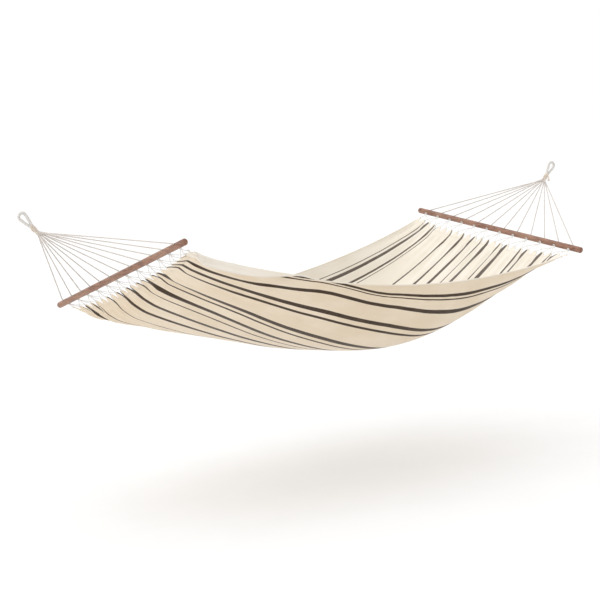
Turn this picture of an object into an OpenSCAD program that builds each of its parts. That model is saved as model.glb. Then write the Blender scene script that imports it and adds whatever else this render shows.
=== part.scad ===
// Striped cloth hammock with two wooden spreader bars, held at its two rope eyes.
// X runs from the left eye to the right eye, +Y is the far side and +Z is up.
// The origin is the point where a hook bears inside the left eye.

/* [Hang] */
// Distance between the two necks, where the suspension cords gather
neck_span = 3120; // [3000:10:3250]
// Distance from a neck to the middle of its spreader bar
fan_len = 465; // [440:5:520]
// Slope of each fan of cords below the horizontal, in degrees
fan_slope = 33.5; // [28:0.5:38]
// Roll of the left bar about its fan, near end up, in degrees
left_roll = -17; // [-20:1:0]
// Roll of the right bar about its fan, far end up, in degrees
right_roll = 14; // [0:1:20]

/* [Spreader bars] */
// Length of a spreader bar
bar_len = 1300; // [1250:10:1340]
// Diameter of a spreader bar
bar_d = 33; // [28:1:38]
// Number of drilled holes in a bar
hole_count = 12; // [8:1:12]
// Distance between neighbouring holes
hole_pitch = 104; // [90:1:106]
// Diameter of a drilled hole
hole_d = 9; // [8:0.5:10]

/* [Cords] */
// Diameter of a suspension cord
cord_d = 5; // [4:0.5:6]
// Diameter of a net cord
net_d = 3; // [2:0.5:3.5]
// Depth of the net at the middle of the bar
net_depth = 92; // [86:1:110]
// Depth of the net at the ends of the bar
net_end_depth = 55; // [50:1:70]

/* [Eyes] */
// Slope of an eye below the horizontal, in degrees
eye_slope = 52; // [45:1:60]
// Distance from a hook's bearing point to the neck
eye_len = 112; // [105:1:130]
// Thickness of the wrapped rope of an eye
eye_rope_d = 13; // [10:1:15]
// Inner width of an eye
eye_inner_w = 24; // [20:1:30]

/* [Cloth] */
// Width over which the cloth is laced to a bar
cloth_span = 1180; // [1100:10:1200]
// Thickness of the plain cloth solid
cloth_t = 3; // [2:0.5:5]
// Sag of the middle of the bed
belly_sag = 500; // [400:10:520]
// Sag of the near selvedge
near_sag = 165; // [120:5:200]
// Sag of the far selvedge
far_sag = 145; // [120:5:200]

/* [Hidden] */

$fn = 48;
LEFT = -1;
RIGHT = 1;

// Clearance between neighbouring solids
gap = 0.6;
// Length on each side of a cord's bend that is cut off
bend_cut = 2.5;
// Radius at which the cords leave the gathered bundle
gather_r = 62;
gather_inner_r = 14;
gather_t = 11;
// Height above the bar's surface at which a cord turns into its hole
turn_lift = 6;
knot_d = 13;
loop_count = 2 * hole_count;
loop_pitch = cloth_span / (loop_count - 1);
tuft_d = 9;
tuft_len = 11;
whipping_d = 21;
whipping_start = 4;
whipping_len = 40;
hem_d = 8;

// Cloth grid, and the shape of its sag
cells_long = 34;
cells_wide = 20;
belly_at = 0.66;
belly_round = 0.32;
belly_power = 4;

bar_end_round = 7;

// The cloth solid starts this far from the net's edge, clear of the tufts
cloth_start = 19;
cloth_end = cloth_start / (neck_span - 2 * fan_len * cos(fan_slope));

function unit(v) = v / norm(v);
function mix(a, b, t) = a * (1 - t) + b * t;
function roll(side) = side == LEFT ? left_roll : right_roll;
function eye_dir(side) = [side * cos(eye_slope), 0, sin(eye_slope)];
function neck(side) = -eye_len * eye_dir(LEFT) + (side == LEFT ? [0, 0, 0] : [neck_span, 0, 0]);
function fan_dir(side) = [-side * cos(fan_slope), 0, -sin(fan_slope)];
function fan_up(side) = [-side * sin(fan_slope), 0, cos(fan_slope)];
function bar_dir(side) = [0, cos(roll(side)), 0] + sin(roll(side)) * fan_up(side);
function hole_y(i) = (i - (hole_count - 1) / 2) * hole_pitch;
function loop_y(j) = (j - (loop_count - 1) / 2) * loop_pitch;

// Depth of the net at a distance y from the middle of the bar
function net_at(y) = net_depth - (net_depth - net_end_depth) * pow(abs(2 * y / cloth_span), 4);

// The cloth's end edge, for v from -1 at the near selvedge to 1 at the far one
function edge_point(side, v) =
    neck(side) + (fan_len + net_at(v * cloth_span / 2)) * fan_dir(side)
    + v * cloth_span / 2 * bar_dir(side);

// Sag shapes along the bed, 0 at both ends and 1 at the lowest place
function parabola(u) = 4 * u * (1 - u);
function arch(u) = sqrt(pow(u - belly_at, 2) + pow(belly_round, 2));
function bent(u) = mix(arch(0), arch(1), u) - arch(u);
belly_slope = arch(0) - arch(1);
belly_peak = belly_at - belly_round * belly_slope / sqrt(1 - pow(belly_slope, 2));
function belly(u) = bent(u) / bent(belly_peak);

function side_sag(v) = v < 0 ? near_sag : far_sag;
function bed_sag(u, v) =
    parabola(u) * side_sag(v)
    + belly(u) * (belly_sag - side_sag(v)) * (1 - pow(abs(v), belly_power));
function bed_point(u, v) =
    mix(edge_point(LEFT, v), edge_point(RIGHT, v), u) - [0, 0, bed_sag(u, v)];

// Step used for slopes along and across the bed
small = 0.01;
function bed_normal(u, v) =
    unit(cross(
        bed_point(min(u + small, 1), v) - bed_point(max(u - small, 0), v),
        bed_point(u, min(v + small, 1)) - bed_point(u, max(v - small, -1))
    ));

// Moves its children into the frame of one end: the origin at the neck, X along
// the fan's middle and Y along the bar.
module end_frame(side) {
    x = fan_dir(side);
    y = bar_dir(side);
    z = cross(x, y);
    o = neck(side);
    multmatrix([
        [x[0], y[0], z[0], o[0]],
        [x[1], y[1], z[1], o[1]],
        [x[2], y[2], z[2], o[2]]
    ]) children();
}

// A round rod between two points
module rod(a, b, d) {
    v = b - a;
    translate(a)
        rotate([0, acos(v[2] / norm(v)), atan2(v[1], v[0])])
            cylinder(h = norm(v), d = d);
}

// A closed tube through a path, with up at right angles to every stretch of it
module tube(path, d, up) {
    sides = 8;
    last = len(path) - 1;
    points = [
        for (i = [0 : last])
            let (
                along = unit(path[min(i + 1, last)] - path[max(i - 1, 0)]),
                across = unit(cross(up, along)),
                over = cross(along, across)
            )
            for (k = [0 : sides - 1])
                path[i] + d / 2 * (cos(360 * k / sides) * across + sin(360 * k / sides) * over)
    ];
    faces = concat(
        [[for (k = [0 : sides - 1]) k]],
        [for (i = [0 : last - 1]) for (k = [0 : sides - 1])
            let (a = i * sides, b = (k + 1) % sides)
                [a + k, a + sides + k, a + sides + b, a + b]],
        [[for (k = [sides - 1 : -1 : 0]) last * sides + k]]
    );
    polyhedron(points = points, faces = faces, convexity = 4);
}

// Moves its children so that X runs from the neck to the hook's bearing point
module eye_frame(side) {
    translate(neck(side))
        rotate([0, -side * eye_slope, 0])
            mirror([side == LEFT ? 1 : 0, 0, 0])
                children();
}

// Teardrop loop of wrapped rope, flat in the X-Z plane
module eye_loop(side) {
    r = (eye_inner_w + eye_rope_d) / 2;
    bow_x = eye_len - eye_inner_w / 2;
    leg_x = whipping_start + whipping_len + gap + eye_rope_d / 2;
    leg_z = eye_rope_d / 2 + 0.5;
    color("oldlace") eye_frame(side) {
        difference() {
            translate([bow_x, 0, 0])
                rotate([90, 0, 0])
                    rotate_extrude()
                        translate([r, 0]) circle(d = eye_rope_d);
            translate([bow_x - 2 * r, -eye_rope_d, -2 * r])
                cube([2 * r, 2 * eye_rope_d, 4 * r]);
        }
        for (s = [-1, 1]) {
            rod([leg_x, 0, s * leg_z], [bow_x, 0, s * r], eye_rope_d);
            translate([leg_x, 0, s * leg_z]) sphere(d = eye_rope_d);
            translate([bow_x, 0, s * r]) sphere(d = eye_rope_d);
        }
    }
}

module whipping(side) {
    color("wheat") eye_frame(side)
        translate([whipping_start, 0, 0])
            rotate([0, 90, 0])
                cylinder(h = whipping_len, d = whipping_d);
}

// The crossed cords between the neck and the open fan
module cord_gather(side) {
    spread = atan(hole_y(hole_count - 1) / (fan_len - bar_d / 2 - turn_lift)) + 2;
    color("oldlace") end_frame(side)
        rotate([0, 0, -spread])
            rotate_extrude(angle = 2 * spread)
                translate([gather_inner_r, -gather_t / 2])
                    square([gather_r - gather_inner_r, gather_t]);
}

module suspension_cord(side, i) {
    turn = [fan_len - bar_d / 2 - turn_lift, hole_y(i), 0];
    start = unit(turn) * (gather_r + gap);
    stop = turn + [turn_lift + bar_d + gap + knot_d, 0, 0];
    color("oldlace") end_frame(side)
        tube(
            [start, turn - bend_cut * unit(turn), turn + [bend_cut, 0, 0], stop],
            cord_d, [0, 0, 1]
        );
}

module spreader_bar(side) {
    half = bar_len / 2;
    r = bar_d / 2;
    corner = [for (a = [0 : 15 : 90]) [cos(a), sin(a)] * bar_end_round];
    outline = concat(
        [[0, -half]],
        [for (k = [6 : -1 : 0]) [r - bar_end_round + corner[k][0], -half + bar_end_round - corner[k][1]]],
        [for (k = [0 : 6]) [r - bar_end_round + corner[k][0], half - bar_end_round + corner[k][1]]],
        [[0, half]]
    );
    color("sienna") end_frame(side)
        translate([fan_len, 0, 0])
            difference() {
                rotate([-90, 0, 0]) rotate_extrude() polygon(outline);
                for (i = [0 : hole_count - 1])
                    translate([-bar_d, hole_y(i), 0])
                        rotate([0, 90, 0])
                            cylinder(h = 2 * bar_d, d = hole_d);
            }
}

// One knot on every suspension cord, against the bar on the cloth side
module stop_knots(side) {
    color("white") end_frame(side)
        for (i = [0 : hole_count - 1])
            translate([fan_len + bar_d / 2 + gap + knot_d / 2, hole_y(i), 0])
                difference() {
                    sphere(d = knot_d);
                    rotate([0, 90, 0])
                        cylinder(h = 2 * knot_d, d = cord_d + 2 * gap, center = true);
                }
}

// Strands from each hole to the two cloth loops beside it on one side.
// lean is -1 towards the near end and 1 towards the far end.
module net_layer(side, lean) {
    layer_z = lean * (net_d / 2 + gap);
    color("white") end_frame(side)
        for (i = [0 : hole_count - 1])
            for (step = [0, 1]) {
                j = 2 * i + (lean + 1) / 2 + lean * step;
                if (j >= 0 && j < loop_count) {
                    side_y = lean * (step - 0.5) * (net_d + gap);
                    start_x = fan_len + bar_d / 2 + knot_d + 3 * gap + net_d / 2;
                    start = [start_x, hole_y(i) + side_y, layer_z];
                    stop = [fan_len + net_at(loop_y(j)) - gap - net_d / 2, loop_y(j), layer_z];
                    rod(start, stop, net_d);
                }
            }
}

// Gathered tufts of warp thread along the cloth's end
module cloth_loops(side) {
    color("oldlace") end_frame(side)
        for (j = [0 : loop_count - 1])
            translate([fan_len + net_at(loop_y(j)) + gap, loop_y(j), 0])
                rotate([0, 90, 0])
                    cylinder(h = tuft_len, d = tuft_d);
}

// Closed thin solid between the two rows of tufts
module hammock_cloth() {
    us = [for (i = [0 : cells_long]) mix(cloth_end, 1 - cloth_end, i / cells_long)];
    vs = [for (j = [0 : cells_wide]) mix(-1, 1, j / cells_wide)];
    row = cells_wide + 1;
    layer = row * (cells_long + 1);
    points = [
        for (s = [-1, 1]) for (u = us) for (v = vs)
            bed_point(u, v) + s * cloth_t / 2 * bed_normal(u, v)
    ];
    faces = concat(
        [for (i = [0 : cells_long - 1]) for (j = [0 : cells_wide - 1])
            let (a = i * row + j) [a, a + row, a + row + 1, a + 1]],
        [for (i = [0 : cells_long - 1]) for (j = [0 : cells_wide - 1])
            let (a = layer + i * row + j) [a, a + 1, a + row + 1, a + row]],
        [for (i = [0 : cells_long - 1])
            let (a = i * row) [a, a + layer, a + layer + row, a + row]],
        [for (i = [0 : cells_long - 1])
            let (a = i * row + cells_wide) [a, a + row, a + layer + row, a + layer]],
        [for (j = [0 : cells_wide - 1]) [j, j + 1, j + 1 + layer, j + layer]],
        [for (j = [0 : cells_wide - 1])
            let (a = cells_long * row + j) [a, a + layer, a + layer + 1, a + 1]]
    );
    color("antiquewhite") polyhedron(points = points, faces = faces, convexity = 6);
}

// Round edge along one selvedge, v being -1 or 1
module hem_cord(v) {
    path = [
        for (i = [0 : cells_long])
            let (
                u = mix(cloth_end, 1 - cloth_end, i / cells_long),
                along = unit(bed_point(u + small, v) - bed_point(u - small, v)),
                outward = bed_point(u, v) - bed_point(u, v * (1 - small)),
                out = unit(outward - along * (outward * along))
            )
            bed_point(u, v) + out * (hem_d / 2 + gap)
    ];
    color("antiquewhite") tube(path, hem_d, [0, 1, 0]);
}

eye_loop(LEFT);  // left_eye_loop
whipping(LEFT);  // left_whipping
eye_loop(RIGHT);  // right_eye_loop
whipping(RIGHT);  // right_whipping
cord_gather(LEFT);  // left_cord_gather
cord_gather(RIGHT);  // right_cord_gather
spreader_bar(LEFT);  // left_spreader_bar
spreader_bar(RIGHT);  // right_spreader_bar
for (i = [1 : hole_count]) {
    suspension_cord(LEFT, i - 1);
    suspension_cord(RIGHT, i - 1);
}
stop_knots(LEFT);  // left_stop_knots
stop_knots(RIGHT);  // right_stop_knots
net_layer(LEFT, -1);  // left_net_lower
net_layer(LEFT, 1);  // left_net_upper
net_layer(RIGHT, -1);  // right_net_lower
net_layer(RIGHT, 1);  // right_net_upper
cloth_loops(LEFT);  // left_cloth_loops
cloth_loops(RIGHT);  // right_cloth_loops
hammock_cloth();
hem_cord(-1);  // near_hem_cord
hem_cord(1);  // far_hem_cord
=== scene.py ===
"""Striped cloth hammock between two wooden spreader bars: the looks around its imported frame.

Everything is in metres, in the frame of the CAD model: X from the left eye to the right eye,
+Y the far side, +Z up, and the origin where a hook bears inside the left eye.
"""

import math
import random

import bpy
import numpy as np
from mathutils import Matrix, Vector


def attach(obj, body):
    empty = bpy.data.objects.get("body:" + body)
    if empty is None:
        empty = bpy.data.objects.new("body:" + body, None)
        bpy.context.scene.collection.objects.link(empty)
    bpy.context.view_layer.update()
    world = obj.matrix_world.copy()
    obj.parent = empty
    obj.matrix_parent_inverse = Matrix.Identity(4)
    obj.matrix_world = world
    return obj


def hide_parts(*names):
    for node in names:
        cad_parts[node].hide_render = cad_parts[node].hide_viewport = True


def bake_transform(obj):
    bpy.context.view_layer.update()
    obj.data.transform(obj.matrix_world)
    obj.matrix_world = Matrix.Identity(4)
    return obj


LEFT, RIGHT = -1, 1
SIDES = {LEFT: "left", RIGHT: "right"}

# The hang, as in the CAD model
NECK_SPAN = 3.120
FAN_LEN = 0.465
FAN_SLOPE = math.radians(33.5)
ROLL = {LEFT: math.radians(-17), RIGHT: math.radians(14)}
BAR_D = 0.033
HOLE_COUNT = 12
HOLE_PITCH = 0.104
CORD_D = 0.005
NET_DEPTH = 0.092
NET_END_DEPTH = 0.055
EYE_SLOPE = math.radians(52)
EYE_LEN = 0.112
EYE_ROPE_D = 0.013
EYE_INNER_W = 0.024
WHIPPING_START = 0.004
WHIPPING_LEN = 0.040
WHIPPING_D = 0.021

# The bed, as in the CAD model
CLOTH_SPAN = 1.180
LOOP_COUNT = 24
LOOP_PITCH = CLOTH_SPAN / (LOOP_COUNT - 1)
BELLY_SAG = 0.500
SIDE_SAG = {"near": 0.165, "far": 0.145}
BELLY_AT = 0.66
BELLY_ROUND = 0.32
BELLY_POWER = 4

# The cloth as it was cut
FLAT_WIDTH = 1.45
FLAT_LENGTH = 2.40

# Stripes: the place of each one's middle from the near selvedge, and its width
STRIPES = [
    (0.085, 0.011), (0.100, 0.005), (0.147, 0.016), (0.249, 0.020), (0.290, 0.013),
    (0.425, 0.026), (0.474, 0.013), (0.587, 0.029), (0.667, 0.013), (0.790, 0.029),
    (0.913, 0.024), (1.044, 0.013), (1.222, 0.006), (1.250, 0.018), (1.334, 0.024),
    (1.367, 0.006),
]

THREAD_PITCH = 0.0016

# How the cloth hangs. The under face's UVs are moved by UNDER, so that the material can tell it and paint it
# in shade.
CLOTH_START = 0.0137
TURNED_OUT = 0.066
TURN_SLOPE = math.radians(48)
TURN_REACH = 0.03
PLEAT_DEPTH = {LEFT: 0.011, RIGHT: 0.008}
FOLD_DEPTH = {LEFT: 0.006, RIGHT: 0.007}
HALF_THICK = 0.0007
HEM_HALF_THICK = 0.0013
HEM = 0.025
UNDER = 4.0
HEM_CORD_D = 0.0064
LEFT_SLACK = 0.050

# Shares of its width by which the cloth has moved across the bed. Past the turned-out stretch
# its near margin is rolled away, less so past the middle. At the right it has moved towards the
# far side: SLID by the near selvedge, and PULLED across the middle. At the left a stripe near
# the margin is TUCKED up against the next one.
ROLL_EASED = 0.039
SLID = 0.075
PULLED = 0.05
TUCKED = 0.036
CUT_STEPS = 201

# Points along one row of the bed. The rows have one more just inside each end, so that the
# shading runs on over the seam.
LINE_STEPS = 321
ROW_INSIDE = 0.0002

# How many seeded folds run in from each end
FOLD_COUNT = 13

# Cords and knots as drawn. The grooves of a cord's lay are a share of its radius, and the
# suspension cords are drawn a little thicker than they are. A layer is half the gap between
# strands that cross. An open end narrows to a tip, given in shares of the cord's radius.
GROOVE = 0.16
TIP_REACH = 0.5
TIP_R = 0.02
CORD_R = CORD_D / 2 * 1.3
NECK_LAYER = 0.0032
NET_R = 0.0024
NET_LAYER = 0.0022
STOP_KNOT = 0.0052
TUFT_KNOT = 0.0046
RIM_R = 0.0042
TURN_D = 0.0032

FLOOR_Z = -1.55


# ---------------------------------------------------------------- shape of the bed

def unit(v):
    """The same directions, one unit long."""
    v = np.asarray(v, float)
    return v / np.linalg.norm(v, axis=-1, keepdims=True)


def mix(a, b, t):
    """From a to b as t goes from 0 to 1."""
    return a * (1 - t) + b * t


def smooth(t):
    """0 up to 0, then smoothly up to 1 at 1."""
    t = np.clip(t, 0, 1)
    return t * t * (3 - 2 * t)


def ramp(x, start, length):
    """0 up to start, then smoothly up to 1 over the length."""
    return smooth((x - start) / length)


def run_along(path):
    """How far along a path each of its points is."""
    return np.concatenate([[0], np.cumsum(np.linalg.norm(np.diff(path, axis=0), axis=1))])


def eye_dir(side):
    """The way from a neck along its eye to the hook."""
    return np.array([side * math.cos(EYE_SLOPE), 0, math.sin(EYE_SLOPE)])


def neck(side):
    """Where the fan leaves the whipping."""
    return -EYE_LEN * eye_dir(LEFT) + np.array([NECK_SPAN if side == RIGHT else 0, 0, 0])


def end_axes(side):
    """X along the fan's middle, Y along the bar towards the far side, and Z across both."""
    x = np.array([-side * math.cos(FAN_SLOPE), 0, -math.sin(FAN_SLOPE)])
    up = np.array([-side * math.sin(FAN_SLOPE), 0, math.cos(FAN_SLOPE)])
    y = math.cos(ROLL[side]) * np.array([0, 1, 0]) + math.sin(ROLL[side]) * up
    return x, y, np.cross(x, y)


def at_end(side, points):
    """Points given in an end's own axes from its neck, in the frame."""
    return neck(side) + np.asarray(points, float) @ np.array(end_axes(side))


def hole_y(i):
    """Where a hole is along its bar, from the bar's middle."""
    return (i - (HOLE_COUNT - 1) / 2) * HOLE_PITCH


def loop_y(j):
    """Where a tuft is along its bar, from the bar's middle."""
    return (j - (LOOP_COUNT - 1) / 2) * LOOP_PITCH


def net_at(y):
    """How deep the net is at a place along the bar: less near its ends than in the middle."""
    return NET_DEPTH - (NET_DEPTH - NET_END_DEPTH) * np.abs(2 * y / CLOTH_SPAN) ** 4


def edge_point(side, v):
    """Where the tufts' tips are laced to the net, v from -1 at the near end to 1 at the far one."""
    x, y, _ = end_axes(side)
    v = np.asarray(v, float)[..., None]
    return neck(side) + (FAN_LEN + net_at(v * CLOTH_SPAN / 2)) * x + v * CLOTH_SPAN / 2 * y


def arch(u):
    """A curve that turns upward round its lowest place, BELLY_AT."""
    return np.sqrt((u - BELLY_AT) ** 2 + BELLY_ROUND ** 2)


def bent(u):
    """How far that curve is below the straight line between its ends."""
    return mix(arch(0), arch(1), u) - arch(u)


def belly(u):
    """The share of the belly's sag at u: 1 where it is deepest."""
    slope = arch(0) - arch(1)
    peak = BELLY_AT - BELLY_ROUND * slope / math.sqrt(1 - slope ** 2)
    return bent(u) / bent(peak)


def bed_point(u, v):
    """The middle of the cloth, u from 0 at the left end to 1 and v from -1 at the near selvedge to 1."""
    u, v = np.broadcast_arrays(np.asarray(u, float), np.asarray(v, float))
    side_sag = np.where(v < 0, SIDE_SAG["near"], SIDE_SAG["far"])
    sag = 4 * u * (1 - u) * side_sag
    sag = sag + belly(u) * (BELLY_SAG - side_sag) * (1 - np.abs(v) ** BELLY_POWER)
    point = mix(edge_point(LEFT, v), edge_point(RIGHT, v), u[..., None])
    point[..., 2] -= sag
    return point


# ---------------------------------------------------------------- how the cloth lies

def on_near_side(u):
    """1 where the near margin is turned outward, falling to 0 along the bed."""
    return 1 - ramp(u, 0.08, 0.24)


def crest_at(u):
    """The share of the cloth's width beyond the crest of the near side's turned-out margin."""
    return TURNED_OUT * on_near_side(u)


def cut_place(u, across):
    """Where the cloth at a place across the bed was before it hung: the folds hide some of it."""
    cut = np.linspace(0, 1, CUT_STEPS)
    rolled = TURNED_OUT - ROLL_EASED * ramp(u, 0.30, 0.2) - crest_at(u)
    hidden = rolled * (1 - ramp(cut, 0, 0.5))
    slid = SLID * ramp(u, 0.45, 0.3) * ramp(cut, 0, 0.15) * (1 - ramp(cut, 0.30, 0.4))
    pulled = PULLED * (1 - math.exp(-(1 - u) / 0.12)) * ramp(u, 0.35, 0.25)
    pulled = pulled * ramp(cut, 0.15, 0.3) * (1 - ramp(cut, 0.7, 0.3))
    tucked = TUCKED * (1 - ramp(u, 0.06, 0.3)) * ramp(cut, 0.06, 0.035) * (1 - ramp(cut, 0.10, 0.075))
    return np.interp(across, cut - hidden + slid + pulled + tucked, cut)


def cloth_row(u, across):
    """Points of one row before its folds: across is 0 at the near selvedge and 1 at the far one."""
    v = np.linspace(-1, 1, LINE_STEPS)
    line = bed_point(u, v)
    run = run_along(line)
    crest = crest_at(u)

    # The bed itself, from its near edge on: slack at the left, but not at the tufts
    place = (across - crest) / (1 - crest)
    unmoved = ramp(place, 0, 0.3) * (1 - ramp(u, CLOTH_START, 0.25))
    place = np.where(place > 0, mix(place, across, unmoved), place)
    points = bed_point(u, np.interp(place * run[-1], run, v))
    slack = ramp(u, -0.014, 0.08) * (1 - ramp(u, 0.06, 0.28))
    points[:, 2] -= LEFT_SLACK * slack * ramp(place, 0.30, 0.45)

    # Beyond the crest, the margin curls over the near edge and hangs down outside
    beyond = place < 0
    if beyond.any():
        start = unit(line[0] - line[6])
        stop = np.array([0, -math.cos(TURN_SLOPE), -math.sin(TURN_SLOPE)])
        d = np.linspace(0, TURNED_OUT * FLAT_WIDTH, 60)
        turn = unit(mix(start, stop, ramp(d, 0, TURN_REACH)[:, None]))
        curl = np.cumsum(turn * d[1], axis=0) - turn[0] * d[1]
        out = (crest - across[beyond]) * FLAT_WIDTH
        points[beyond] = line[0] + np.stack([np.interp(out, d, curl[:, k]) for k in range(3)], -1)
    return points


def pleats(u, across):
    """How far the cloth falls between its tufts, which hold it back in pleats at both ends."""
    depth = 0
    for side, reach in ((LEFT, u), (RIGHT, 1 - u)):
        d = np.maximum((reach - CLOTH_START) * FLAT_LENGTH, 0)
        held = PLEAT_DEPTH[side] * ramp(d, 0, 0.05) * np.exp(-np.maximum(d - 0.05, 0) / 0.15)
        depth = depth + held * (1 - np.cos(2 * math.pi * (LOOP_COUNT - 1) * across)) / 2
    return depth


def broad_folds():
    """Seeded soft folds that run in from each end: place, drift, half width, depth, and how far in."""
    chance = random.Random(5)
    folds = []
    for side in SIDES:
        for k in range(FOLD_COUNT):
            place = (k + 0.5) / FOLD_COUNT + chance.uniform(-0.02, 0.02)
            drift = chance.uniform(-0.10, 0.10)
            half = chance.uniform(0.012, 0.024)
            deep = chance.uniform(0.35, 1.0) * FOLD_DEPTH[side]
            reach = chance.uniform(0.22, 0.42)
            folds.append((side, place, drift, half, deep, reach))
    return folds


FOLDS = broad_folds()


def fold_depth(u, across):
    """How far the pleats and the broad folds lower the cloth."""
    depth = pleats(u, across)
    for side, place, drift, half, deep, reach in FOLDS:
        w = u if side == LEFT else 1 - u
        strength = ramp(w, 0.015, 0.05) * (1 - ramp(w, 0.06, reach))
        depth = depth + deep * strength * np.exp(-((across - place - drift * w) / half) ** 2)
    return depth


def lie(us, across):
    """Points and unit normals of the cloth's middle at each u and place across, folds and all."""
    def fall(points):
        along, over = np.gradient(points, axis=0), np.gradient(points, axis=1)
        return unit(np.cross(along, over))
    base = np.stack([cloth_row(u, across) for u in us])
    points = base - fall(base) * fold_depth(us[:, None], across[None])[..., None]
    return points, fall(points)


# ---------------------------------------------------------------- mesh making

class Mesh:
    """Collects grids of points into one mesh with UVs."""

    def __init__(self):
        self.points, self.quads, self.uvs, self.flat, self.count = [], [], [], [], 0

    def grid(self, points, uv, wrap=False):
        """Rows of points joined into quads. With wrap, each row's end joins its start."""
        rows, cols = points.shape[:2]
        index = np.arange(rows * cols).reshape(rows, cols) + self.count
        if wrap:
            index = np.concatenate([index, index[:, :1]], axis=1)
        corners = [(slice(None, -1), slice(None, -1)), (slice(1, None), slice(None, -1)),
                   (slice(1, None), slice(1, None)), (slice(None, -1), slice(1, None))]
        self.quads.append(np.stack([index[c] for c in corners], -1).reshape(-1, 4))
        self.uvs.append(np.stack([uv[c] for c in corners], -2).reshape(-1, 2))
        self.points.append(points.reshape(-1, 3))
        self.count += rows * cols
        return self

    def tube(self, path, radius, sides=10, closed=False, plies=0, pitch=0.02):
        """A tube along a path. With plies it has that many strands laid round each other."""
        path = np.asarray(path, float)
        radius = np.broadcast_to(np.asarray(radius, float), len(path))
        if closed:
            path = np.concatenate([path, path[:1]])
            radius = np.append(radius, radius[0])
        else:
            ends = [path[0] - unit(path[1] - path[0]) * radius[0] * TIP_REACH,
                    path[-1] + unit(path[-1] - path[-2]) * radius[-1] * TIP_REACH]
            path = np.concatenate([ends[:1], path, ends[1:]])
            radius = np.concatenate([[radius[0] * TIP_R], radius, [radius[-1] * TIP_R]])
        along = np.gradient(path, axis=0)
        if closed:
            along[0] = along[-1] = path[1] - path[-2]
        along = unit(along)
        s = run_along(path)
        across = [unit(np.cross(along[0], [0.31, 0.43, 0.85]))]
        for t in along[1:]:
            across.append(unit(across[-1] - t * (across[-1] @ t)))
        across = np.array(across)
        over = np.cross(along, across)
        angle = np.arange(sides) / sides * 2 * math.pi
        if closed:
            turned = math.atan2(across[0] @ over[-1], across[0] @ across[-1])
            angle = angle + (s / s[-1] * turned)[:, None]
        else:
            angle = np.broadcast_to(angle, (len(path), sides))
        r = radius[:, None] * np.ones((1, sides))
        if plies:
            lay = plies / 2 * (angle - 2 * math.pi * s[:, None] / pitch)
            r = r * (1 - GROOVE + GROOVE * np.abs(np.cos(lay)))
        ring = (path[:, None] + r[..., None]
                * (np.cos(angle)[..., None] * across[:, None] + np.sin(angle)[..., None] * over[:, None]))
        uv = np.stack(np.meshgrid(np.arange(sides + 1) / sides, s), -1)
        return self.grid(ring, uv, wrap=True)

    def object(self, name, material):
        """The mesh as an object in the scene, smooth but for its flat faces."""
        mesh = bpy.data.meshes.new(name)
        quads = np.concatenate(self.quads)
        mesh.from_pydata(np.concatenate(self.points).tolist(), [], quads.tolist())
        layer = mesh.uv_layers.new(name="UVMap")
        layer.data.foreach_set("uv", np.concatenate(self.uvs).astype(np.float32).ravel())
        rounded_face = np.ones(len(mesh.polygons), bool)
        rounded_face[self.flat] = False
        mesh.polygons.foreach_set("use_smooth", rounded_face)
        mesh.materials.append(material)
        mesh.update()
        obj = bpy.data.objects.new(name, mesh)
        bpy.context.scene.collection.objects.link(obj)
        return obj


def spaced(path, step):
    """The same path with a point every step."""
    path = np.asarray(path, float)
    s = run_along(path)
    new = np.linspace(0, s[-1], max(3, int(round(s[-1] / step)) + 1))
    return np.stack([np.interp(new, s, path[:, k]) for k in range(3)], -1)


def rounded(path, step, passes=3):
    """A smooth path near the given corners, with a point about every step."""
    path = np.asarray(path, float)
    for _ in range(passes):
        a, b = path[:-1], path[1:]
        cut = np.stack([mix(a, b, 0.25), mix(a, b, 0.75)], 1).reshape(-1, 3)
        path = np.concatenate([path[:1], cut[1:-1], path[-1:]])
    return spaced(path, step)


# ---------------------------------------------------------------- materials

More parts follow.
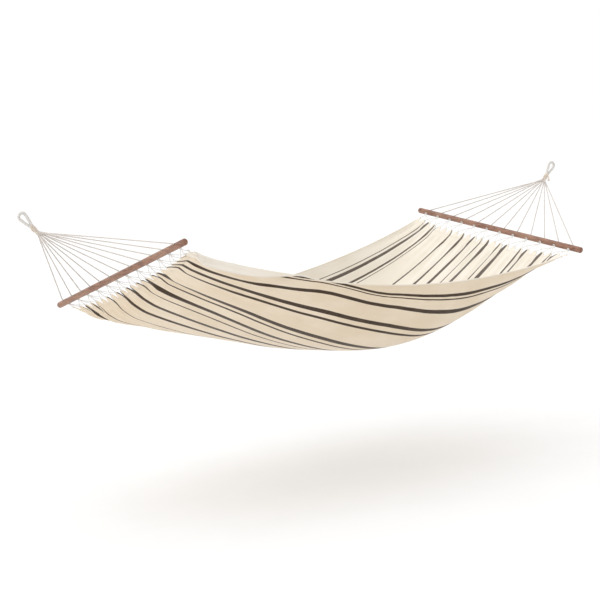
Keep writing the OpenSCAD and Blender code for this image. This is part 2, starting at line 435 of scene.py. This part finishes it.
class Nodes:
    """A short way to write a material's node tree."""

    def __init__(self, name):
        self.material = bpy.data.materials.new(name)
        self.material.use_nodes = True
        self.tree = self.material.node_tree
        self.shader = self.tree.nodes["Principled BSDF"]

    def link(self, value, socket):
        """Set a socket to a plain value, or join another node's output to it."""
        if isinstance(value, (int, float)):
            socket.default_value = value
        elif isinstance(value, tuple):
            socket.default_value = value if len(value) == len(socket.default_value) else (*value, 1)
        else:
            self.tree.links.new(value, socket)

    def add(self, kind, output=0, settings=None, **inputs):
        """A new node's output. An input goes by its name, or by its number as i0, i1 and so on."""
        node = self.tree.nodes.new(kind)
        for key, value in (settings or {}).items():
            setattr(node, key, value)
        for key, value in inputs.items():
            name = key.replace("_", " ")
            socket = node.inputs[int(key[1:])] if key[0] == "i" and key[1:].isdigit() else node.inputs[name]
            self.link(value, socket)
        return node.outputs[output]

    def math(self, operation, a, b=0.0, c=0.0):
        return self.add("ShaderNodeMath", settings={"operation": operation}, i0=a, i1=b, i2=c)

    def mix(self, factor, a, b):
        node = self.tree.nodes.new("ShaderNodeMix")
        node.data_type = "RGBA"
        for value, socket in ((factor, node.inputs[0]), (a, node.inputs[6]), (b, node.inputs[7])):
            self.link(value, socket)
        return node.outputs[2]

    def scaled(self, vector, scale):
        return self.add("ShaderNodeVectorMath", settings={"operation": "MULTIPLY"}, i0=vector, i1=scale)

    def noise(self, vector, scale, detail=2.0, roughness=0.5):
        return self.add("ShaderNodeTexNoise", Vector=vector, Scale=scale, Detail=detail, Roughness=roughness)

    def range(self, value, low, high, to_low=0.0, to_high=1.0):
        """A value taken smoothly from between low and high to between to_low and to_high."""
        node = self.tree.nodes.new("ShaderNodeMapRange")
        node.interpolation_type = "SMOOTHSTEP"
        for socket, v in zip(node.inputs, (value, low, high, to_low, to_high)):
            self.link(v, socket)
        return node.outputs[0]

    def uv(self):
        return self.add("ShaderNodeUVMap", settings={"uv_map": "UVMap"})

    def split(self, vector):
        node = self.tree.nodes.new("ShaderNodeSeparateXYZ")
        self.link(vector, node.inputs[0])
        return node.outputs[0], node.outputs[1], node.outputs[2]

    def bump(self, height, strength, distance):
        return self.add("ShaderNodeBump", Height=height, Strength=strength, Distance=distance)

    def finish(self, colour, roughness, normal=None, **fixed):
        """The material, with its shader joined up. The rest are plain values for other sockets."""
        self.link(colour, self.shader.inputs["Base Color"])
        self.link(roughness, self.shader.inputs["Roughness"])
        if normal is not None:
            self.link(normal, self.shader.inputs["Normal"])
        for key, value in fixed.items():
            self.link(value, self.shader.inputs[key.replace("_", " ")])
        return self.material


def object_space(n):
    """Coordinates in the piece's own space, so that the pattern moves with it."""
    return n.add("ShaderNodeTexCoord", output=3)


def stretched(n, x, x_scale, y, y_scale):
    """A vector for a noise that is drawn out along the threads."""
    return n.add("ShaderNodeCombineXYZ", X=n.math("MULTIPLY", x, x_scale), Y=n.math("MULTIPLY", y, y_scale))


def cloth_material():
    """Plain-weave cotton: warp threads along the bed, dark stripes, slubs and a fine weave, and painted
    shade that makes the under face darker and warmer.
    """
    n = Nodes("striped_cotton")
    across, along, _ = n.split(n.uv())
    under = n.math("GREATER_THAN", along, UNDER / 2)
    along = n.math("SUBTRACT", along, n.math("MULTIPLY", under, UNDER))
    wider = n.range(along, 0.15, 0.60, 0.86, 1.0)
    across = n.math("MULTIPLY", across, FLAT_WIDTH)
    along = n.math("MULTIPLY", along, FLAT_LENGTH)
    wander = n.noise(n.add("ShaderNodeCombineXYZ", X=across, Y=n.math("MULTIPLY", along, 0.5)), 9.0, 1.0)
    thread = n.noise(stretched(n, across, 900.0, along, 14.0), 1.0, 2.0)
    place = n.math("ADD", across, n.math("MULTIPLY_ADD", wander, 0.006, -0.003))
    place = n.math("ADD", place, n.math("MULTIPLY_ADD", thread, 0.0024, -0.0012))
    stripes = 0.0
    for middle, width in STRIPES:
        off = n.math("MULTIPLY", n.math("ABSOLUTE", n.math("SUBTRACT", place, middle)), wider)
        inside = n.range(off, width / 2 - 0.0006, width / 2 + 0.0006, 1.0, 0.0)
        stripes = n.math("MAXIMUM", stripes, inside)
    broad = n.noise(object_space(n), 5.0, 3.0)
    streak = n.noise(stretched(n, across, 160.0, along, 3.0), 1.0, 3.0)
    cream = n.mix(n.range(broad, 0.35, 0.65), (0.81, 0.745, 0.645), (0.84, 0.785, 0.695))
    # Painted shade: the under face, turned down away from the light, is coloured darker and warmer.
    shade = n.mix(n.range(broad, 0.35, 0.65), (0.77, 0.63, 0.46), (0.82, 0.69, 0.53))
    cream = n.mix(n.math("MULTIPLY", under, 0.85), cream, shade)
    cream = n.mix(n.range(streak, 0.40, 0.75, 0.0, 0.35), cream, (0.76, 0.635, 0.46))
    cream = n.mix(n.range(thread, 0.55, 0.80, 0.0, 0.30), cream, (0.90, 0.84, 0.73))
    brown = n.mix(n.range(thread, 0.35, 0.70), (0.085, 0.066, 0.052), (0.190, 0.155, 0.125))
    # Painted shade on the under face's stripes too.
    shade = n.mix(n.range(thread, 0.35, 0.70), (0.030, 0.017, 0.009), (0.095, 0.062, 0.038))
    brown = n.mix(under, brown, shade)
    colour = n.mix(stripes, cream, brown)
    warp = n.math("SINE", n.math("MULTIPLY", across, 2 * math.pi / THREAD_PITCH))
    weft = n.math("SINE", n.math("MULTIPLY", along, 2 * math.pi / THREAD_PITCH))
    slubs = n.math("MULTIPLY_ADD", thread, 0.9, n.math("MULTIPLY", streak, 1.2))
    height = n.math("MULTIPLY_ADD", n.math("MULTIPLY", warp, weft), 0.35, slubs)
    normal = n.bump(height, 0.55, 0.0006)
    return n.finish(colour, n.range(thread, 0.2, 0.8, 0.78, 0.95), normal,
                    Sheen_Weight=0.25, Sheen_Roughness=0.5, Specular_IOR_Level=0.15)


def cord_material(name, light, dark, turns):
    """Cotton cord: twisted strands by its UV, with painted shade darkening the grooves between them, and a
    little dirt.
    """
    n = Nodes(name)
    around, along, _ = n.split(n.uv())
    turned = n.math("SUBTRACT", around, n.math("MULTIPLY", along, turns))
    spiral = n.math("SINE", n.math("MULTIPLY", turned, 6 * math.pi))
    fuzz = n.noise(object_space(n), 900.0, 3.0)
    patch = n.noise(object_space(n), 30.0, 2.0)
    # Painted shade: the grooves between the strands take the dark colour.
    colour = n.mix(n.range(spiral, -1.0, 0.2), dark, light)
    colour = n.mix(n.range(patch, 0.40, 0.70, 0.0, 0.35), colour, dark)
    normal = n.bump(n.math("MULTIPLY_ADD", fuzz, 0.6, spiral), 0.5, 0.0005)
    return n.finish(colour, n.range(fuzz, 0.3, 0.7, 0.75, 0.95), normal,
                    Sheen_Weight=0.2, Specular_IOR_Level=0.15)


def wood_material(name, light):
    """Oiled reddish hardwood with grain, pores and worn patches. With light under 1 the colour is darkened,
    as painted shade.
    """
    n = Nodes(name)
    place = object_space(n)
    drawn_out = n.scaled(place, (26.0, 1.6, 26.0))
    warp = n.noise(n.scaled(place, (6.0, 1.0, 6.0)), 1.5, 2.0)
    bent_grain = n.add("ShaderNodeVectorMath", settings={"operation": "ADD"}, i0=drawn_out, i1=warp)
    grain = n.noise(bent_grain, 3.2, 6.0, 0.6)
    pores = n.noise(n.scaled(place, (900.0, 28.0, 900.0)), 1.0, 2.0)
    tone = n.noise(place, 4.0, 2.0)
    colour = n.mix(n.range(grain, 0.35, 0.65), (0.150, 0.060, 0.034), (0.33, 0.165, 0.105))
    colour = n.mix(n.range(tone, 0.35, 0.70, 0.0, 0.45), colour, (0.42, 0.255, 0.175))
    colour = n.mix(n.range(pores, 0.60, 0.72, 0.0, 0.6), colour, (0.085, 0.032, 0.020))
    # Painted shade: a much darker copy of the wood.
    if light < 1:
        colour = n.scaled(colour, (light, light, light))
    height = n.math("MULTIPLY_ADD", grain, 0.6, n.math("MULTIPLY", pores, -0.8))
    return n.finish(colour, n.range(grain, 0.3, 0.7, 0.42, 0.58), n.bump(height, 0.35, 0.0008),
                    Specular_IOR_Level=0.45, Coat_Weight=0.12, Coat_Roughness=0.35)


def floor_material():
    """Almost white, and even."""
    n = Nodes("pale_floor")
    speck = n.noise(object_space(n), 3.0, 2.0)
    colour = n.mix(speck, (0.90, 0.90, 0.90), (0.93, 0.93, 0.93))
    return n.finish(colour, 0.9)


# ---------------------------------------------------------------- camera, light and floor

def add_camera():
    """The view from the left of the near side, level with the eyes and looking slightly down."""
    place = Vector((-1.942, -6.211, 0.063))
    yaw, pitch, roll = (math.radians(a) for a in (61.21, -5.29, -5.25))
    forward = Vector((math.cos(pitch) * math.cos(yaw), math.cos(pitch) * math.sin(yaw), math.sin(pitch)))
    level = Vector((math.sin(yaw), -math.cos(yaw), 0))
    upright = level.cross(forward)
    right = level * math.cos(roll) + upright * math.sin(roll)
    up = upright * math.cos(roll) - level * math.sin(roll)
    data = bpy.data.cameras.new("camera")
    data.lens = 80
    data.sensor_width = 36
    camera = bpy.data.objects.new("camera", data)
    camera.matrix_world = Matrix.Translation(place) @ Matrix((right, up, -forward)).transposed().to_4x4()
    bpy.context.scene.collection.objects.link(camera)
    bpy.context.scene.camera = camera


def add_sun():
    """A broad soft light from above and a little behind."""
    data = bpy.data.lights.new("key", "SUN")
    data.energy = 2.6
    data.angle = math.radians(140)
    light = bpy.data.objects.new("key", data)
    light.location = (-0.4, 0.4, 4.0)
    target = Vector((1.6, 0, 0))
    light.rotation_euler = (target - light.location).to_track_quat("-Z", "Y").to_euler()
    bpy.context.scene.collection.objects.link(light)


def add_studio():
    """A white world that lights less than it shows, the sun, and a floor well below the hammock."""
    scene = bpy.context.scene
    scene.view_settings.view_transform = "Standard"
    world = bpy.data.worlds.new("studio")
    world.use_nodes = True
    tree = world.node_tree
    background = tree.nodes["Background"]
    seen = tree.nodes.new("ShaderNodeBackground")
    seen.inputs[0].default_value = (1, 1, 1, 1)
    seen.inputs[1].default_value = 1.02
    background.inputs[0].default_value = (1, 1, 1, 1)
    background.inputs[1].default_value = 0.46
    ray = tree.nodes.new("ShaderNodeLightPath")
    pick = tree.nodes.new("ShaderNodeMixShader")
    tree.links.new(ray.outputs["Is Camera Ray"], pick.inputs[0])
    tree.links.new(background.outputs[0], pick.inputs[1])
    tree.links.new(seen.outputs[0], pick.inputs[2])
    tree.links.new(pick.outputs[0], tree.nodes["World Output"].inputs[0])
    scene.world = world
    add_sun()
    floor = Mesh()
    reach = np.linspace(-60, 60, 3)
    corners = np.stack(np.meshgrid(reach, reach, indexing="ij"), -1)
    flat = np.concatenate([corners, np.full((3, 3, 1), FLOOR_Z)], -1)
    floor.grid(flat, corners)
    floor.object("floor", floor_material())


# ---------------------------------------------------------------- cords

def cord_path(side, i):
    """A suspension cord from inside the whipping, down the fan, through its hole to its knot."""
    turn = np.array([FAN_LEN - BAR_D / 2 - 0.006, hole_y(i), 0])
    way = unit(turn)
    spread = (i - (HOLE_COUNT - 1) / 2) / (HOLE_COUNT / 2)
    layer = NECK_LAYER if i % 2 else -NECK_LAYER
    inside = eye_dir(side) * 0.008 + at_end(side, [0, 0.0055 * spread, layer])
    leaving = [0.004, 0.0065 * spread, layer]
    bundle = way * 0.035 + np.array([0, 0, layer * 0.8])
    apart = way * 0.11 + np.array([0, 0, layer * 0.15])
    bend = [turn - way * 0.006, turn, turn + [0.004, 0, 0]]
    stop = [FAN_LEN + BAR_D / 2 + 0.008, hole_y(i), 0]
    return rounded([inside, *at_end(side, [leaving, bundle, apart, *bend, stop])], 0.0028)


def add_cords(side, material):
    """The twelve cords of one fan."""
    for i in range(HOLE_COUNT):
        path = cord_path(side, i)
        name = f"{SIDES[side]}_cord_{i + 1}"
        cord = Mesh().tube(path, CORD_R, 10, plies=3, pitch=0.017).object(f"{name}_rope", material)
        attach(cord, f"{SIDES[side]}_bar")
        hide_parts(name)


# ---------------------------------------------------------------- knots, rims and net

def knot_path(centre, axes, size):
    """A small overhand knot pulled tight."""
    t = np.linspace(0, 2 * math.pi, 60, endpoint=False)
    x = (np.sin(t) + 2 * np.sin(2 * t)) / 3
    y = (np.cos(t) - 2 * np.cos(2 * t)) / 3
    z = -np.sin(3 * t) * 0.55
    return centre + size * (np.stack([x, y, z], -1) @ np.array(axes))


def bar_loop(side, y):
    """A loop of net cord that comes out of the hole at y, stands a little over the bar and goes back."""
    r = BAR_D / 2 + 0.0022
    loop = [[FAN_LEN + BAR_D / 2 + 0.012, y - 0.003, 0]]
    for k in np.linspace(0, 1, 15):
        bow = math.sin(math.pi * k)
        lift = 0.0115 * bow - 0.002
        half = 0.0062 * (1 - 0.25 * bow) * np.sign(k - 0.5)
        loop.append([FAN_LEN + r * math.cos(lift / r), y + half, -side * r * math.sin(lift / r)])
    loop.append([FAN_LEN + BAR_D / 2 + 0.012, y + 0.003, 0])
    return at_end(side, rounded(loop, 0.002, 2))


def add_knots(side, material):
    """A knot on each cord against the bar, and the loop of net cord that comes out of its hole."""
    mesh = Mesh()
    x, y, z = end_axes(side)
    for i in range(HOLE_COUNT):
        centre = at_end(side, [FAN_LEN + BAR_D / 2 + 0.0075, hole_y(i), 0])
        mesh.tube(knot_path(centre, (z, y, x), STOP_KNOT), 0.0023, 8, closed=True, plies=3, pitch=0.008)
        mesh.tube(bar_loop(side, hole_y(i)), 0.0019, 8, plies=3, pitch=0.008)
    knots = mesh.object(f"{SIDES[side]}_knots", material)
    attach(knots, f"{SIDES[side]}_bar")
    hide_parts(f"{SIDES[side]}_stop_knots", f"{SIDES[side]}_cord_gather")


def add_hole_rims(side, material):
    """A ring of painted shade round each hole's mouth, where its cord goes in and comes out."""
    mesh = Mesh()
    a = np.linspace(0, 2 * math.pi, 20, endpoint=False)
    y, z = RIM_R * np.cos(a), RIM_R * np.sin(a)
    for i in range(HOLE_COUNT):
        for face in (-1, 1):
            x = FAN_LEN + face * np.sqrt((BAR_D / 2) ** 2 - z ** 2)
            mesh.tube(at_end(side, np.stack([x, hole_y(i) + y, z], -1)), 0.0011, 8, closed=True)
    rims = mesh.object(f"{SIDES[side]}_hole_rims", material)
    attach(rims, f"{SIDES[side]}_bar")


def strand_path(side, i, step, slack):
    """A net strand from the knot at hole i to a tuft near it, over or under those it crosses."""
    y0, y1 = hole_y(i), loop_y(2 * i + step)
    x0, x1 = FAN_LEN + BAR_D / 2 + 0.010, FAN_LEN + net_at(y1) + 0.002
    over = NET_LAYER if step > 0 else -NET_LAYER
    path = [[x0, y0 + 0.002 * (step - 0.5), over * 0.4]]
    for t in (0.15, 0.35, 0.6, 0.85):
        bow = math.sin(math.pi * t)
        path.append([mix(x0, x1, t), mix(y0, y1, t ** 0.85) + slack * bow, over * (1 - t) - 0.004 * bow])
    path.append([x1, y1, 0])
    return at_end(side, rounded(path, 0.003, 2))


def add_net(side, material):
    """Strands from each knot to the four tufts nearest it, crossing those of its neighbours."""
    mesh = Mesh()
    axes = end_axes(side)
    chance = random.Random(11 + side)
    for i in range(HOLE_COUNT):
        for step in (-1, 0, 1, 2):
            if 0 <= 2 * i + step < LOOP_COUNT:
                path = strand_path(side, i, step, chance.uniform(-0.004, 0.004))
                mesh.tube(path, NET_R, 8, plies=2, pitch=0.009)
    for j in range(LOOP_COUNT):
        centre = at_end(side, [FAN_LEN + net_at(loop_y(j)) + 0.001, loop_y(j), 0])
        mesh.tube(knot_path(centre, axes, TUFT_KNOT), 0.0021, 8, closed=True, plies=2, pitch=0.006)
    net = mesh.object(f"{SIDES[side]}_net", material)
    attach(net, f"{SIDES[side]}_bar")
    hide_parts(f"{SIDES[side]}_net_lower", f"{SIDES[side]}_net_upper")


# ---------------------------------------------------------------- cloth

def layers(mesh, points, normals, half, uv):
    """Both faces of a sheet, joined all round: in one ring at its sides, by a strip at each end."""
    offset = normals * half[..., None]
    loop = np.concatenate([points + offset, (points - offset)[:, ::-1]], axis=1)
    face = np.concatenate([uv, uv[:, ::-1] + [0, UNDER], uv[:, :1]], axis=1)
    rows, cols = loop.shape[:2]
    column = np.arange(cols // 2)
    for row, turn in ((0, slice(None)), (rows - 1, slice(None, None, -1))):
        first = mesh.count + row * cols
        top, under = first + column, first + cols - 1 - column
        strip = np.stack([top[:-1], top[1:], under[1:], under[:-1]], -1)
        corner = np.stack([uv[row, :-1], uv[row, 1:], uv[row, 1:], uv[row, :-1]], 1)
        done = sum(len(q) for q in mesh.quads)
        mesh.flat += range(done, done + len(strip))
        mesh.quads.append(strip[:, turn])
        mesh.uvs.append(corner[:, turn].reshape(-1, 2))
    mesh.grid(loop, face, wrap=True)


def cloth_columns():
    """Places across the cloth: even ones, and closer ones at both hems."""
    even = np.linspace(0, 1, 8 * (LOOP_COUNT - 1) + 1)
    close = np.array([0.001, 0.003, 0.010, 0.0155, 0.019, 0.026])
    return np.unique(np.round(np.concatenate([even, close, 1 - close]), 6))


def cloth_rows():
    """Places along the left half: closer at the tufts, and one more just inside each end."""
    rows = CLOTH_START + (0.5 - CLOTH_START) * np.linspace(0, 1, 111) ** 1.35
    return np.sort(np.append(rows, [CLOTH_START + ROW_INSIDE, 0.5 - ROW_INSIDE]))


def add_cloth(material):
    """The cloth in two halves that meet across the middle."""
    across = cloth_columns()
    left_half = cloth_rows()
    us = np.concatenate([left_half, 1 - left_half[-2::-1]])
    edge = np.minimum(across, 1 - across) * FLAT_WIDTH
    half = mix(HEM_HALF_THICK, HALF_THICK, ramp(edge, HEM, 0.003)) * smooth(0.25 + edge / 0.0012)
    points, normals = lie(us, across)
    middle = len(left_half) - 1
    for side, rows in ((LEFT, slice(0, middle + 1)), (RIGHT, slice(middle, None))):
        mesh = Mesh()
        cut = np.stack([cut_place(u, across) for u in us[rows]])
        uv = np.stack([cut, np.broadcast_to(us[rows, None], cut.shape)], -1)
        layers(mesh, points[rows], normals[rows], np.broadcast_to(half, cut.shape), uv)
        for column, place in ((0, 0.004), (-1, 0.996)):
            mesh.tube(points[rows, column], HEM_CORD_D / 2)
            mesh.uvs[-1] = mesh.uvs[-1] * [0.002, 1 / FLAT_LENGTH] + [place, us[rows][0]]
        name = SIDES[side]
        cloth = mesh.object(f"{name}_cloth", material)
        span = (0.04, 0.45) if side == LEFT else (0.55, 0.96)
        ends = [(float(bed_point(u, 0)[0]), 0, 0) for u in span]
        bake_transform(cloth)
        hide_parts("hammock_cloth", "near_hem_cord", "far_hem_cord")


def add_tufts(side, material):
    """The cloth's own threads, gathered at each net knot and fanning out to the woven edge."""
    mesh = Mesh()
    _, along_bar, up = end_axes(side)
    step = 1 / (LOOP_COUNT - 1)
    us = CLOTH_START * np.array([1.0, 1.6])
    us = us if side == LEFT else 1 - us[::-1]
    edge = 0 if side == LEFT else 1
    t = np.linspace(0, 1, 9)[:, None, None]
    for j in range(LOOP_COUNT):
        reach = np.linspace(max(-0.5, -j), min(0.5, LOOP_COUNT - 1 - j), 9)
        across = np.clip((j + reach * 1.02) * step, 0, 1)
        points, normals = lie(us, across)
        row = points[edge]
        middle = row[len(row) // 2]
        tip = edge_point(side, -1 + 2 * j * step)
        ripple = 0.0016 * np.cos(reach * math.pi * 3)
        gathered = along_bar * reach[:, None] * 0.007 + up * ripple[:, None]
        fan = mix(tip, middle, t) + mix(gathered, row - middle, t ** 0.45)
        half = mix(0.0026, HALF_THICK, smooth(t[..., 0] * 1.5)) * np.cos(np.linspace(-1.2, 1.2, 9)) ** 0.5
        cut = np.broadcast_to(cut_place(us[edge], across), half.shape)
        uv = np.stack([cut, np.full(half.shape, us[edge])], -1)
        layers(mesh, fan, np.broadcast_to(normals[edge], fan.shape), half, uv)
    tufts = mesh.object(f"{SIDES[side]}_tufts", material)
    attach(tufts, f"{SIDES[side]}_bar")
    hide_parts(f"{SIDES[side]}_cloth_loops")


# ---------------------------------------------------------------- eyes

def eye_axes(side):
    """X from the neck to the hook, Y across the eye's plane, Z along it."""
    x = eye_dir(side)
    return np.array([x, [0, 1, 0], np.cross(x, [0, 1, 0])])


def on_eye(side, points):
    """Points given in an eye's own axes from its neck, in the frame."""
    return neck(side) + np.asarray(points, float) @ eye_axes(side)


def add_eye_rope(side, material):
    """The eye: a rope loop wrapped in cord, with both legs ending in the whipping."""
    bow_r = (EYE_INNER_W + EYE_ROPE_D) / 2
    bow_x = EYE_LEN - EYE_INNER_W / 2
    leg_x = WHIPPING_START + WHIPPING_LEN * 0.6
    leg = np.array([[leg_x, 0, 0.0045], [leg_x + 0.014, 0, 0.0052], [leg_x + 0.03, 0, 0.0105]])
    around = np.linspace(-math.pi / 2, math.pi / 2, 15)
    bow = [[bow_x + bow_r * math.cos(a), 0, bow_r * math.sin(a)] for a in around]
    path = on_eye(side, rounded([*leg * [1, 1, -1], *bow, *leg[::-1]], 0.0009, 2))
    ridges = np.abs(np.sin(math.pi * run_along(path) / 0.0042))
    radius = EYE_ROPE_D / 2 * (0.98 + 0.16 * ridges ** 0.7)
    eye = Mesh().tube(path, radius, 14).object(f"{SIDES[side]}_eye_rope", material)
    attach(eye, f"{SIDES[side]}_eye")
    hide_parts(f"{SIDES[side]}_eye_loop")


def add_tail(mesh, side):
    """The loose end of the right whipping, with a small knot in it."""
    tail = [[0.030, -0.006, -0.006], [0.026, -0.012, -0.012],
            [0.018, -0.012, -0.019], [0.012, -0.010, -0.022]]
    mesh.tube(on_eye(side, rounded(tail, 0.002)), 0.0024, 8, plies=3, pitch=0.01)
    knot = knot_path(on_eye(side, [0.010, -0.010, -0.023]), eye_axes(side), 0.0056)
    mesh.tube(knot, 0.0026, 8, closed=True, plies=3, pitch=0.01)


def add_whipping(side, material):
    """Tight turns of cord round the eye's legs and the ends of the suspension cords."""
    mesh = Mesh()
    count = int(WHIPPING_LEN / TURN_D)
    t = np.linspace(0, count, count * 24)
    crown = 0.0026 * np.sin(math.pi * np.minimum(t / count * 1.25, 1))
    r = WHIPPING_D / 2 - TURN_D / 2 + crown + 0.0004 * np.sin(t * 2.1)
    x = WHIPPING_START + TURN_D / 2 + t * (WHIPPING_LEN - TURN_D) / count
    helix = np.stack([x, r * np.cos(2 * math.pi * t), r * np.sin(2 * math.pi * t)], -1)
    mesh.tube(on_eye(side, helix), TURN_D / 2 * 1.06, 8, plies=2, pitch=0.006)
    core = [[WHIPPING_START + 0.001, 0, 0], [WHIPPING_START + WHIPPING_LEN - 0.001, 0, 0]]
    mesh.tube(on_eye(side, spaced(core, 0.004)), WHIPPING_D / 2 - TURN_D * 0.8, 16)
    if side == RIGHT:
        add_tail(mesh, side)
    whipping = mesh.object(f"{SIDES[side]}_whipping_turns", material)
    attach(whipping, f"{SIDES[side]}_eye")
    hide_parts(f"{SIDES[side]}_whipping")


def add_collar(side, material):
    """Two interwoven turns of cord round the cords where they leave the whipping."""
    t = np.linspace(0, 2 * math.pi, 160, endpoint=False)
    r = 0.0088 + 0.0016 * np.cos(7 * t)
    ring = np.stack([0.004 + 0.0030 * np.sin(5 * t), r * np.cos(2 * t), r * np.sin(2 * t)], -1)
    mesh = Mesh().tube(at_end(side, ring), 0.0022, 8, closed=True, plies=2, pitch=0.008)
    collar = mesh.object(f"{SIDES[side]}_neck_collar", material)
    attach(collar, f"{SIDES[side]}_bar")


# ---------------------------------------------------------------- the scene

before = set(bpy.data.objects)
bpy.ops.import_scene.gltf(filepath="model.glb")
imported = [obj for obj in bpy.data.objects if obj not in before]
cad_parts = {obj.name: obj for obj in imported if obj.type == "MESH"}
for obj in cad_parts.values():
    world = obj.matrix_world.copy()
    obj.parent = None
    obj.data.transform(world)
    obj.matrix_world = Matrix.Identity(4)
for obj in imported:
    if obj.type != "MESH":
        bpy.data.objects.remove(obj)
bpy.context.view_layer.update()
add_camera()
# Each cord material's darker colour is painted shade in the grooves, and also its dirt.
cord_cotton = cord_material("twisted_cord", (0.76, 0.71, 0.66), (0.50, 0.45, 0.41), 60.0)
for side in SIDES:
    add_cords(side, cord_cotton)
net_cotton = cord_material("net_cord", (0.94, 0.93, 0.91), (0.74, 0.72, 0.69), 110.0)
eye_cotton = cord_material("eye_wrap", (0.86, 0.84, 0.81), (0.62, 0.58, 0.54), 200.0)
wrap_cotton = cord_material("whipping_cord", (0.90, 0.80, 0.69), (0.62, 0.52, 0.42), 160.0)
cotton = cloth_material()
wood = wood_material("oiled_wood", 1.0)
# Painted shade for the holes' mouths: the wood made much darker.
painted_hole_shade = wood_material("hole_shade_paint", 0.22)
add_cloth(cotton)
for side in SIDES:
    add_knots(side, net_cotton)
    add_net(side, net_cotton)
    # Dark rings painted as the shade in each hole's mouth.
    add_hole_rims(side, painted_hole_shade)
    add_eye_rope(side, eye_cotton)
    add_whipping(side, wrap_cotton)
    add_collar(side, wrap_cotton)
    add_tufts(side, cotton)
    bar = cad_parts[f"{SIDES[side]}_spreader_bar"]
    bar.data.materials.clear()
    bar.data.materials.append(wood)
add_studio()
